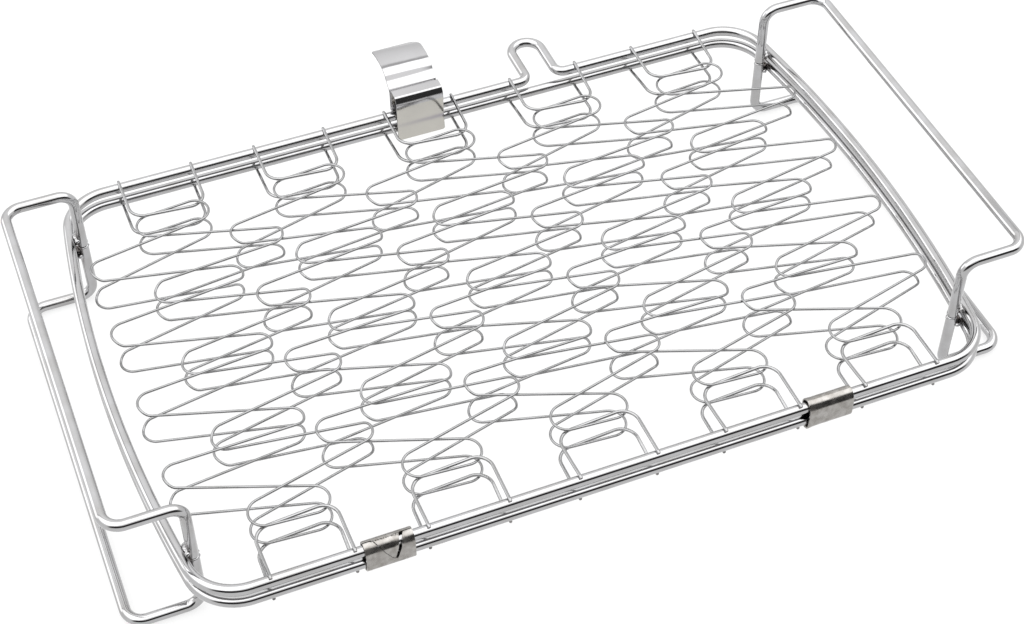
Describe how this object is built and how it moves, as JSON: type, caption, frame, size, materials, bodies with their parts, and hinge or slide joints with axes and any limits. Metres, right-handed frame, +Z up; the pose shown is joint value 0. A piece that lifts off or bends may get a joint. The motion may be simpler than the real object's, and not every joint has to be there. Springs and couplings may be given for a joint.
{
  "type": "grill basket",
  "caption": "Hinged wire grill basket: two rod frames with zigzag spring meshes, raised end handles, a snap latch and a finger loop.",
  "frame": {"origin": "middle of the basket's box in X and Y, at the level of the surface it stands on", "axes": "+X along the long rails, +Y from the hinge to the latch, +Z up"},
  "size_m": [0.427, 0.285, 0.071],
  "materials": {
    "polished_rod": "polished round rod",
    "spring_wire": "bright drawn wire",
    "hook_wire": "bright drawn wire",
    "sleeve_sheet": "satin rolled sheet",
    "latch_sheet": "mirror-polished sheet"
  },
  "bodies": {
    "lower_half": {"lower_frame": "polished_rod", "lower_handle_left": "polished_rod", "lower_handle_right": "polished_rod", "lower_spring_1": "spring_wire", "lower_spring_2": "spring_wire", "lower_spring_3": "spring_wire", "lower_spring_4": "spring_wire", "lower_spring_5": "spring_wire", "lower_back_hook_1": "hook_wire", "lower_back_hook_2": "hook_wire", "lower_back_hook_3": "hook_wire", "lower_back_hook_4": "hook_wire", "lower_back_hook_5": "hook_wire", "lower_front_hook_1": "hook_wire", "lower_front_hook_2": "hook_wire", "lower_front_hook_3": "hook_wire", "lower_front_hook_4": "hook_wire", "lower_front_hook_5": "hook_wire"},
    "hinge_clips": {"hinge_clip_left": "sleeve_sheet", "hinge_clip_right": "sleeve_sheet"},
    "upper_half": {"upper_frame": "polished_rod", "upper_handle_left": "polished_rod", "upper_handle_right": "polished_rod", "upper_spring_1": "spring_wire", "upper_spring_2": "spring_wire", "upper_spring_3": "spring_wire", "upper_spring_4": "spring_wire", "upper_spring_5": "spring_wire", "upper_back_hook_1": "hook_wire", "upper_back_hook_2": "hook_wire", "upper_back_hook_3": "hook_wire", "upper_back_hook_4": "hook_wire", "upper_back_hook_5": "hook_wire", "upper_front_hook_1": "hook_wire", "upper_front_hook_2": "hook_wire", "upper_front_hook_3": "hook_wire", "upper_front_hook_4": "hook_wire", "upper_front_hook_5": "hook_wire"},
    "latch": {"latch_clip": "latch_sheet"}
  },
  "joints": [
    {"name": "clip_turn", "type": "hinge", "parent": "lower_half", "child": "hinge_clips", "pos_m": [0, -0.13849, 0.0315], "axis": [1, 0, 0], "range_deg": [0, 90]},
    {"name": "lid_open", "type": "hinge", "parent": "hinge_clips", "child": "upper_half", "pos_m": [0, -0.13849, 0.0395], "axis": [1, 0, 0], "range_deg": [0, 90]},
    {"name": "latch_swing", "type": "hinge", "parent": "upper_half", "child": "latch", "pos_m": [0, 0.10951, 0.0395], "axis": [-1, 0, 0], "range_deg": [0, 35]}
  ],
  "couplings": [
    {"joint": "clip_turn", "follows": "lid_open", "ratio": 1}
  ]
}
